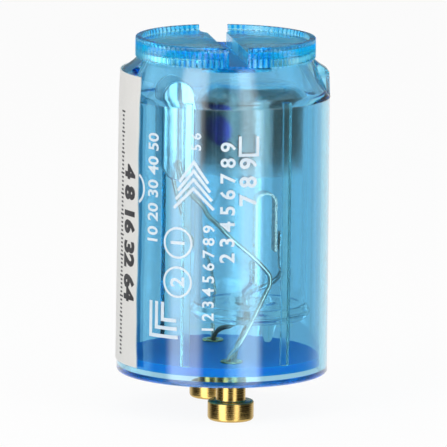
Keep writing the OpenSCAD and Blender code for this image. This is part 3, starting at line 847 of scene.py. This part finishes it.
def make_canister():
    bm = spun(canister_outline(), CANISTER_STEPS)
    shape_canister_columns(bm)
    bmesh.ops.recalc_face_normals(bm, faces=bm.faces)
    piece = finished("canister_moulding", bm, PLASTIC, replaces=("canister",))
    trough = prism(trough_plan(), SLOT_Z - WALL, FACE_Z - WALL / 2)
    combined(piece, hidden_tool("trough", trough), "UNION")
    combined(piece, hidden_tool("slot", prism(slot_plan(), SLOT_Z, TOP_Z + 1)), "DIFFERENCE")
    for polygon in piece.data.polygons:
        polygon.use_smooth = True
    piece.data.set_sharp_from_angle(angle=math.radians(35))
    return piece


# Contact pins

def make_pin(name, y):
    outline = rounded([
        (0, 0, 0), (PIN_HEAD_R, 0, 0.35), (PIN_HEAD_R, PIN_HEAD_H, 0.22), (PIN_NECK_R, PIN_HEAD_H, 0.12),
        (PIN_NECK_R, DISC_Z, 0.05), (PIN_SHANK_R, DISC_Z, 0), (PIN_SHANK_R, DISC_TOP, 0),
        (PIN_ROLL_R, DISC_TOP, 0.05), (PIN_ROLL_R, ROLL_TOP, 0.12), (PIN_BORE_R, ROLL_TOP, 0.08),
        (PIN_BORE_R, BORE_FLOOR, 0), (0, BORE_FLOOR, 0),
    ])
    bm = spun(outline, 96)
    bmesh.ops.translate(bm, vec=(0, y, 0), verts=bm.verts)
    return finished(name + "_turned", bm, BRASS, replaces=(name,))


# Bulb

def make_envelope():
    inner = BULB_R - GLASS_T
    outline = rounded([
        (BULB_R, GLASS_Z, 0.1), (BULB_R, DOME_Z - 0.15, DOME_CORNER), (0, DOME_Z, 0),
        (0, DOME_Z - GLASS_T, 0), (inner, DOME_Z - GLASS_T - 0.15, DOME_CORNER - GLASS_T),
        (inner, GLASS_Z, 0.1),
    ], segments=10)
    bm = spun(outline, 128, centre_x=BULB_X)
    return finished("bulb_envelope_glass", bm, BULB_GLASS, replaces=("bulb_envelope",))


def make_mirror_film():
    outer = BULB_R - GLASS_T - 0.02
    inner = outer - 0.03
    top = DOME_Z - GLASS_T - 0.02
    low_z = DOME_Z - 9.5
    outline = rounded([
        (outer, low_z, 0), (outer, top - 0.15, DOME_CORNER - GLASS_T - 0.02), (0, top, 0),
        (0, top - 0.03, 0), (inner, top - 0.18, DOME_CORNER - GLASS_T - 0.05), (inner, low_z, 0),
    ], segments=10)
    bm = spun(outline, 96, centre_x=BULB_X)
    return finished("bulb_mirror_film", bm, MIRROR_FILM)


def make_stem():
    """Fire-polished glass foot: flare, button round the seals, and the exhaust tip."""
    mid = (FLARE_Z + GLASS_Z) / 2
    button = SEAL_Y + POST_R + 1
    outline = rounded([
        (0, FLARE_Z, 0), (FLARE_R - 0.6, FLARE_Z, 0.2), (FLARE_R, mid, 0.45), (FLARE_R - 0.5, GLASS_Z, 0.2),
        (button, GLASS_Z, 0.3), (button - 0.5, GLASS_Z + BUTTON_H, 0.3), (0, GLASS_Z + BUTTON_H, 0),
    ], segments=6)
    bm = spun(outline, 96, centre_x=BULB_X)
    piece = finished("bulb_stem_glass", bm, STEM_GLASS, replaces=("bulb_stem",))
    tip_x = BULB_X + 1.9
    tip = spun(rounded([(0, TIP_LOW_Z, 0), (0.35, TIP_LOW_Z, 0.25), (1.1, FLARE_Z, 0.3), (1.1, FLARE_Z + 0.3, 0),
                        (0, FLARE_Z + 0.3, 0)], segments=5), 48, centre_x=tip_x)
    combined(piece, hidden_tool("exhaust_tip", tip), "UNION")
    for polygon in piece.data.polygons:
        polygon.use_smooth = True
    piece.data.set_sharp_from_angle(angle=math.radians(60))
    return piece


def make_bimetal_strip():
    """Rolled strip bent to an upturned U."""
    mean_r = (STRIP_RIGHT - STRIP_X - STRIP_T) / 2
    bend_x = STRIP_X + STRIP_T / 2 + mean_r
    bend_z = STRIP_TOP - STRIP_T / 2 - mean_r
    path = [(STRIP_X + STRIP_T / 2, STRIP_BASE), (STRIP_X + STRIP_T / 2, bend_z)]
    for k in range(1, 12):
        a = math.pi * (1 - k / 12)
        path.append((bend_x + mean_r * math.cos(a), bend_z + mean_r * math.sin(a)))
    path += [(FREE_X, bend_z), (FREE_X, FREE_LOW_Z)]
    bm = bmesh.new()
    verts = [bm.verts.new((x, -STRIP_W / 2, z)) for x, z in path]
    edges = [bm.edges.new(pair) for pair in zip(verts, verts[1:])]
    grown = bmesh.ops.extrude_edge_only(bm, edges=edges)
    far = [item for item in grown["geom"] if isinstance(item, bmesh.types.BMVert)]
    bmesh.ops.translate(bm, vec=(0, STRIP_W, 0), verts=far)
    bmesh.ops.recalc_face_normals(bm, faces=bm.faces)
    for vert in bm.verts:
        vert.normal_update()
        vert.co += vert.normal * (STRIP_T / 2)
    bmesh.ops.solidify(bm, geom=bm.faces[:], thickness=STRIP_T)
    bmesh.ops.recalc_face_normals(bm, faces=bm.faces)
    return finished("bimetal_strip_bent", bm, BIMETAL, replaces=("bimetal_strip",))


# Capacitor

def stadium(radius, half_height, count=72):
    """Points round a flat roll's outline, from an offset of its middle line."""
    points = []
    for k in range(count):
        a = 2 * math.pi * (k + 0.5) / count
        points.append((radius * math.cos(a), radius * math.sin(a) + math.copysign(half_height, math.sin(a))))
    return points


def make_roll():
    middle_z = (CAP_Z + CAP_TOP) / 2
    half = (CAP_TOP - CAP_Z) / 2 - CAP_R
    rows = 14
    length = 2 * (CAP_Y - SPRAY_T)
    bm = bmesh.new()
    loops = []
    for i in range(rows + 1):
        y = -length / 2 + length * i / rows
        ease = 0.06 if i in (0, rows) else 0.0
        ring = [bm.verts.new((CAP_X + x, y, middle_z + z)) for x, z in stadium(CAP_R - ease, half)]
        loops.append([bm.edges.new(pair) for pair in zip(ring, ring[1:] + ring[:1])])
    for first, second in zip(loops, loops[1:]):
        bmesh.ops.bridge_loops(bm, edges=first + second)
    for loop in (loops[0], loops[-1]):
        bmesh.ops.contextual_create(bm, geom=loop)
    for vert in bm.verts:
        if abs(vert.co.y) < length / 2 - 0.1:
            push = noise.noise(Vector((vert.co.x * 0.7, vert.co.y * 0.35, vert.co.z * 0.9))) * 0.09
            vert.co.x += math.copysign(min(0, push), vert.co.x - CAP_X)
    bmesh.ops.recalc_face_normals(bm, faces=bm.faces)
    return finished("capacitor_roll_wound", bm, FILM, replaces=("capacitor_roll",))


def make_spray_end(node, side):
    """Wound edges under sprayed metal: concentric turns of the roll with a rough crust."""
    middle_z = (CAP_Z + CAP_TOP) / 2
    half = (CAP_TOP - CAP_Z) / 2 - CAP_R
    turns = 16
    outer_y = CAP_Y
    inner_y = CAP_Y - SPRAY_T
    bm = bmesh.new()
    loops = []
    for i in range(turns + 1):
        radius = CAP_R * (1 - i / (turns + 0.5))
        ring = []
        for x, z in stadium(radius, half, 96):
            rough = noise.noise(Vector((x * 1.7, z * 0.4, 7.0 * side))) * 0.5 + 0.5
            ridge = 0.03 * (i % 2) + 0.19 * rough
            y = inner_y + 0.05 if i == 0 else outer_y - ridge
            ring.append(bm.verts.new((CAP_X + x, side * y, middle_z + z)))
        loops.append([bm.edges.new(pair) for pair in zip(ring, ring[1:] + ring[:1])])
    back = [bm.verts.new((CAP_X + x, side * inner_y, middle_z + z)) for x, z in stadium(CAP_R, half, 96)]
    loops.insert(0, [bm.edges.new(pair) for pair in zip(back, back[1:] + back[:1])])
    for first, second in zip(loops, loops[1:]):
        bmesh.ops.bridge_loops(bm, edges=first + second)
    bmesh.ops.contextual_create(bm, geom=loops[0])
    bmesh.ops.contextual_create(bm, geom=loops[-1])
    bmesh.ops.recalc_face_normals(bm, faces=bm.faces)
    return finished(node + "_crust", bm, SPRAY, replaces=(node,), sharp=60)


# Label

LABEL_T = 0.12
LABEL_SPAN = 68
LABEL_MID = -96
LABEL_LOW = RIM_Z + 1.25
LABEL_HIGH = LUG_CORNER_Z + 0.15


def wall_radius(z):
    """Outside radius of the canister below the shoulder."""
    return BODY_R + (SHOULDER_R - BODY_R) * (z - RIM_Z) / (SHOULDER_Z - RIM_Z)


def label_radius(z):
    if z <= SHOULDER_Z:
        return wall_radius(z)
    return SHOULDER_R - LUG_LEAN * min(1, (z - SHOULDER_Z) / (LUG_CORNER_Z - SHOULDER_Z))


def make_label():
    """Paper sheet wrapped on the wall, with slightly wavy cut edges."""
    bm = bmesh.new()
    rows = 40
    levels = [LABEL_LOW + (LABEL_HIGH - LABEL_LOW) * k / rows for k in range(rows + 1)]
    start = math.radians(LABEL_MID - LABEL_SPAN / 2)
    column = [bm.verts.new((label_radius(z) * math.sin(start), -label_radius(z) * math.cos(start), z))
              for z in levels]
    edges = [bm.edges.new(pair) for pair in zip(column, column[1:])]
    bmesh.ops.spin(bm, geom=column + edges, cent=(0, 0, 0), axis=(0, 0, 1),
                   angle=math.radians(LABEL_SPAN), steps=72, use_merge=False)
    for vert in bm.verts:
        z = vert.co.z
        angle = math.atan2(vert.co.x, -vert.co.y)
        edge = abs(math.degrees(angle) - LABEL_MID) / (LABEL_SPAN / 2)
        wave = 0.35 * math.sin(z * 0.42) + 0.2 * math.sin(z * 1.3 + 1)
        angle += math.radians(wave) * max(0, edge - 0.9) * 10 * math.copysign(1, math.degrees(angle) - LABEL_MID)
        r = math.hypot(vert.co.x, vert.co.y) + 0.01
        vert.co.x = r * math.sin(angle)
        vert.co.y = -r * math.cos(angle)
    bmesh.ops.recalc_face_normals(bm, faces=bm.faces)
    outward = sum(f.normal.dot(Vector((f.calc_center_median().x, f.calc_center_median().y, 0)))
                  for f in bm.faces)
    if outward < 0:
        bmesh.ops.reverse_faces(bm, faces=bm.faces)
    bmesh.ops.solidify(bm, geom=bm.faces[:], thickness=-(LABEL_T - 0.015))
    bmesh.ops.recalc_face_normals(bm, faces=bm.faces)
    return finished("label_sheet", bm, PAPER, replaces=("label",))


# Print, as thin raised ink wrapped on the wall or the label

def flat_text(body, height, bold=0.03):
    """Plain numerals as a flat closed shape, one height tall, along +X."""
    curve = bpy.data.curves.new("numerals", "FONT")
    curve.body = body
    curve.size = height / 0.7
    curve.extrude = 0.5
    curve.offset = bold * height
    curve.resolution_u = 3
    source = bpy.data.objects.new("numerals", curve)
    bpy.context.collection.objects.link(source)
    depsgraph = bpy.context.evaluated_depsgraph_get()
    mesh = bpy.data.meshes.new_from_object(source.evaluated_get(depsgraph))
    bpy.data.objects.remove(source)
    bpy.data.curves.remove(curve)
    bm = bmesh.new()
    bm.from_mesh(mesh)
    bpy.data.meshes.remove(mesh)
    bmesh.ops.remove_doubles(bm, verts=bm.verts, dist=1e-5)
    return bm


def flat_outline(points, width, closed=True):
    """A line of even width along flat points, as a closed shape."""
    bm = bmesh.new()
    count = len(points)
    inner = []
    outer = []
    for i, point in enumerate(points):
        here = Vector(point)
        before = Vector(points[i - 1]) if closed or i > 0 else None
        after = Vector(points[(i + 1) % count]) if closed or i < count - 1 else None
        along = ((after or here) - (before or here)).normalized()
        if before and after:
            one = (here - before).normalized()
            two = (after - here).normalized()
            along = (one + two).normalized()
            stretch = 1 / max(0.4, along.dot(one))
        else:
            stretch = 1
        side = Vector((-along.y, along.x)) * (width / 2 * stretch)
        inner.append(here - side)
        outer.append(here + side)
    steps = range(count if closed else count - 1)
    low = [[bm.verts.new((*p, -0.5)) for p in line] for line in (inner, outer)]
    faces = []
    for i in steps:
        j = (i + 1) % count
        faces.append(bm.faces.new((low[0][i], low[0][j], low[1][j], low[1][i])))
    grown = bmesh.ops.extrude_face_region(bm, geom=faces)
    top = [item for item in grown["geom"] if isinstance(item, bmesh.types.BMVert)]
    bmesh.ops.translate(bm, vec=(0, 0, 1), verts=top)
    bmesh.ops.recalc_face_normals(bm, faces=bm.faces)
    return bm


def circle_points(radius, start=0, end=360, count=32):
    whole = abs(end - start) >= 360
    steps = count if whole else count + 1
    return [(radius * math.cos(math.radians(start + (end - start) * k / count)),
             radius * math.sin(math.radians(start + (end - start) * k / count))) for k in range(steps)]


def wrapped(flat, angle, z, upward, radius_at, thickness, sink):
    """Wraps a flat shape on a wall: its +X runs up the wall, or down it, and its middle lies at angle and z."""
    low = Vector((min(v.co.x for v in flat.verts), min(v.co.y for v in flat.verts)))
    high = Vector((max(v.co.x for v in flat.verts), max(v.co.y for v in flat.verts)))
    middle = (low + high) / 2
    turn = 1 if upward else -1
    for _ in range(2):
        long_edges = [e for e in flat.edges if e.calc_length() > 0.6 and abs(e.verts[0].co.z - e.verts[1].co.z) < 0.1]
        if long_edges:
            bmesh.ops.subdivide_edges(flat, edges=long_edges, cuts=1)
    for vert in flat.verts:
        along = (vert.co.x - middle.x) * turn
        across = (vert.co.y - middle.y) * turn
        height = z + along
        r = radius_at(height)
        a = math.radians(angle) - across / r
        out = r - sink + (thickness + sink) * (vert.co.z + 0.5)
        vert.co = Vector((out * math.sin(a), -out * math.cos(a), height))
    bmesh.ops.recalc_face_normals(flat, faces=flat.faces)
    return flat


def joined(parts):
    """One bmesh that holds several."""
    whole = bmesh.new()
    for part in parts:
        mesh = bpy.data.meshes.new("part")
        part.to_mesh(mesh)
        part.free()
        whole.from_mesh(mesh)
        bpy.data.meshes.remove(mesh)
    return whole


INK_T = 0.02
INK_SINK = 0.01

# Plain numbers on the canister: text, height, angle, middle height
WALL_NUMBERS = [
    ("10 20 30 40 50", 1.3, -50.5, 24.0),
    ("2 3 4 5 6 7 8 9", 1.45, -6.5, 22.9),
    ("7 8 9", 1.7, 4.6, 25.0),
    ("1 2 3 4 5 6 7 8 9", 1.15, -16.5, 15.2),
    ("5 6", 1.0, -24.1, 29.0),
]
# Rings with a plain number inside: radius, angle, middle height, number
WALL_RINGS = [
    (1.5, -34.0, 18.6, "1"),
    (1.5, -34.0, 14.6, "2"),
]


def wall_mark(flat, angle, z):
    return wrapped(flat, angle, z, True, wall_radius, INK_T, INK_SINK)


def make_wall_print():
    """Generic white marks: columns of plain numbers, rings, chevrons, an arc, an open frame and nested brackets."""
    marks = []
    for text, height, angle, z in WALL_NUMBERS:
        marks.append(wall_mark(flat_text(text, height), angle, z))
    for radius, angle, z, text in WALL_RINGS:
        marks.append(wall_mark(flat_outline(circle_points(radius), 0.22), angle, z))
        marks.append(wall_mark(flat_text(text, radius), angle, z))
    for step in range(4):
        low_x = -3.4 + 1.45 * step
        chevron = [(low_x, -2.1 + 0.2 * step), (low_x + 2.1, 0), (low_x, 2.1 - 0.2 * step)]
        marks.append(wall_mark(flat_outline(chevron, 0.3, closed=False), -25.2, 24.6 + 0.9 * (step - 1.5)))
    marks.append(wall_mark(flat_outline(circle_points(1.6, -150, -30), 0.25, closed=False), -59.4, 23.6))
    for inset in (0.0, 0.85, 1.7):
        bracket = [(-1.75 + inset, -1.6), (-1.75 + inset, 1.7 - inset), (1.75, 1.7 - inset)]
        marks.append(wall_mark(flat_outline(bracket, 0.36, closed=False), -42.5 + inset * 2, 10.6 + inset / 2))
    frame_mark = [(0.95, 0.9), (-0.95, 0.9), (-0.95, -0.9), (0.95, -0.9)]
    marks.append(wall_mark(flat_outline(frame_mark, 0.3, closed=False), 4.8, 28.6))
    return finished("canister_print", joined(marks), WHITE_INK, sharp=40)


def label_mark(flat, angle, z):
    return wrapped(flat, angle, z, False, lambda height: label_radius(height) + LABEL_T - 0.005,
                   INK_T, INK_SINK)


def make_label_print():
    """Generic dark marks on the paper: bold numbers and a row of small ticks."""
    marks = [label_mark(flat_text("4 8 16 32 64", 1.9, 0.075), -70.3, 18.8)]
    for k in range(60):
        length = 0.9 if k % 5 == 0 else 0.5
        tick = [(-0.09, -length / 2), (0.09, -length / 2), (0.09, length / 2), (-0.09, length / 2)]
        bm = bmesh.new()
        base = bm.faces.new([bm.verts.new((x, y, -0.5)) for x, y in tick])
        grown = bmesh.ops.extrude_face_region(bm, geom=[base])
        top = [item for item in grown["geom"] if isinstance(item, bmesh.types.BMVert)]
        bmesh.ops.translate(bm, vec=(0, 0, 1), verts=top)
        marks.append(label_mark(bm, -80.0, 31.0 - k * 0.42))
    return finished("label_print", joined(marks), DARK_INK, sharp=40)


# Studio

AMBIENT = 0.45

# Strips of light, in degrees from the camera's side of the object, and how bright they are
STRIPS = [(-60, -24, 2.7), (19, 42, 2.0)]
INNER_STRIPS = [(-125, -88, 1.6), (-60, -40, 1.6), (7, 42, 4.4)]
STRIP_LOW = -60
STRIP_HIGH = 70
STRIP_SOFT = 6


def light_strips(tree, turned, strips):
    """The two tall lamps beside the camera, with soft edges."""
    level = None
    for start, end, strength in strips:
        left = ramp(tree, turned, start - STRIP_SOFT, start + STRIP_SOFT)
        right = ramp(tree, turned, end - STRIP_SOFT, end + STRIP_SOFT, 1.0, 0.0)
        inside = math_node(tree, "MULTIPLY", left, right)
        level = math_node(tree, "MULTIPLY_ADD", inside, strength, level if level else 0.0)
    return level


def make_world():
    """White behind the object, plain light on it, and a grey room with lamps in its reflections."""
    world = bpy.data.worlds.new("studio")
    bpy.context.scene.world = world
    world.use_nodes = True
    tree = world.node_tree
    background = tree.nodes["Background"]
    direction = add(tree, "ShaderNodeTexCoord").outputs["Generated"]
    split = add(tree, "ShaderNodeSeparateXYZ")
    tree.links.new(direction, split.inputs[0])
    x, y, z = split.outputs
    minus_y = math_node(tree, "MULTIPLY", y, -1.0)
    azimuth = math_node(tree, "DEGREES", math_node(tree, "ARCTAN2", x, minus_y))
    turned = math_node(tree, "SUBTRACT", azimuth, CAMERA_AZIMUTH)
    elevation = math_node(tree, "DEGREES", math_node(tree, "ARCSINE", z))
    aside = math_node(tree, "ABSOLUTE", turned)
    upright = math_node(tree, "MULTIPLY", ramp(tree, elevation, STRIP_LOW - 8, STRIP_LOW + 8),
                        ramp(tree, elevation, STRIP_HIGH - 8, STRIP_HIGH + 8, 1.0, 0.0))
    strips = math_node(tree, "MULTIPLY", light_strips(tree, turned, STRIPS), upright)
    inner_strips = math_node(tree, "MULTIPLY", light_strips(tree, turned, INNER_STRIPS), upright)
    below = ramp(tree, elevation, -35, -15, 0.85, 0.0)
    # Seen through the clear walls: white behind the object, dark at its sides and behind the camera
    through = math_node(tree, "ADD", ramp(tree, aside, 80, 130, 0.35, 0.90), inner_strips)
    through = math_node(tree, "MAXIMUM", through, below)
    through = math_node(tree, "MAXIMUM", through, ramp(tree, elevation, 15, 40, 0.0, 1.0))
    # Seen in the surfaces: a dark room with the strips, white low down behind the object
    behind = math_node(tree, "MULTIPLY", ramp(tree, aside, 100, 150), ramp(tree, elevation, -3, 3, 0.85, 0.15))
    mirrored = math_node(tree, "ADD", math_node(tree, "ADD", behind, 0.03), strips)
    mirrored = math_node(tree, "MAXIMUM", mirrored, below)
    path = add(tree, "ShaderNodeLightPath")
    level = math_node(tree, "MULTIPLY_ADD", path.outputs["Is Glossy Ray"],
                      math_node(tree, "SUBTRACT", mirrored, AMBIENT), AMBIENT)
    level = math_node(tree, "MULTIPLY_ADD", path.outputs["Is Transmission Ray"],
                      math_node(tree, "SUBTRACT", through, level), level)
    level = math_node(tree, "MULTIPLY_ADD", path.outputs["Is Camera Ray"],
                      math_node(tree, "SUBTRACT", 1.0, level), level)
    tree.links.new(level, background.inputs["Strength"])
    background.inputs["Color"].default_value = (1, 1, 1, 1)


def make_area_light(name, angle, elevation, distance, size, power):
    data = bpy.data.lights.new(name, "AREA")
    data.shape = "RECTANGLE"
    data.size = size[0] * MM
    data.size_y = size[1] * MM
    data.energy = power
    light = bpy.data.objects.new(name, data)
    bpy.context.collection.objects.link(light)
    place = polar(distance * math.cos(math.radians(elevation)), angle, distance * math.sin(math.radians(elevation)))
    light.location = (place + Vector((0, 0, AIM_Z))) * MM
    light.rotation_euler = place.to_track_quat("Z", "Y").to_euler()
    light.visible_camera = False
    light.visible_glossy = False
    light.visible_transmission = False


def make_floor():
    bm = bmesh.new()
    bmesh.ops.create_grid(bm, x_segments=1, y_segments=1, size=3.0)
    mesh = bpy.data.meshes.new("floor")
    bm.to_mesh(mesh)
    bm.free()
    floor = bpy.data.objects.new("floor", mesh)
    bpy.context.collection.objects.link(floor)
    material, tree, shader = new_material("pale_floor")
    shader.inputs["Base Color"].default_value = (0.9, 0.9, 0.9, 1.0)
    shader.inputs["Roughness"].default_value = 0.9
    glow = add(tree, "ShaderNodeEmission")
    glow.inputs["Strength"].default_value = 1.0
    mix = add(tree, "ShaderNodeMixShader")
    path = add(tree, "ShaderNodeLightPath")
    tree.links.new(math_node(tree, "MULTIPLY", path.outputs["Is Camera Ray"], 0.92), mix.inputs[0])
    tree.links.new(shader.outputs[0], mix.inputs[1])
    tree.links.new(glow.outputs[0], mix.inputs[2])
    tree.links.new(mix.outputs[0], tree.nodes["Material Output"].inputs["Surface"])
    mesh.materials.append(material)
    floor.visible_glossy = False
    floor.visible_transmission = False


make_camera()
make_world()
make_floor()
make_area_light("key", -50, 30, 400, (220, 300), 0.6)
make_area_light("fill", 45, 25, 400, (180, 300), 0.35)
make_area_light("top", 0, 80, 400, (300, 300), 0.45)

make_canister()
make_pin("front_contact_pin", -PIN_Y)
make_pin("rear_contact_pin", PIN_Y)
make_envelope()
make_mirror_film()
make_stem()
make_bimetal_strip()
make_roll()
make_spray_end("capacitor_end_front", -1)
make_spray_end("capacitor_end_rear", 1)
make_wire("capacitor_lead_front", ROUTE_CAP_FRONT, WIRE_R, TINNED)
make_wire("capacitor_lead_rear", ROUTE_CAP_REAR, WIRE_R, TINNED)
make_wire("bulb_lead_front", ROUTE_BULB_FRONT, POST_R, DARK_LEAD)
make_wire("bulb_lead_rear", ROUTE_BULB_REAR, POST_R, DARK_LEAD)
make_wire("bimetal_post", ROUTE_POST, POST_R, NICKEL)
make_wire("fixed_electrode", ROUTE_FIXED, POST_R, NICKEL)
make_label()
make_wall_print()
make_label_print()
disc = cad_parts["base_disc"]
disc.data.materials.clear()
disc.data.materials.append(DEEP_BLUE)

scene = bpy.context.scene
scene.view_settings.view_transform = "Standard"
scene.cycles.max_bounces = 40
scene.cycles.transmission_bounces = 32
scene.cycles.transparent_max_bounces = 32
scene.cycles.glossy_bounces = 32
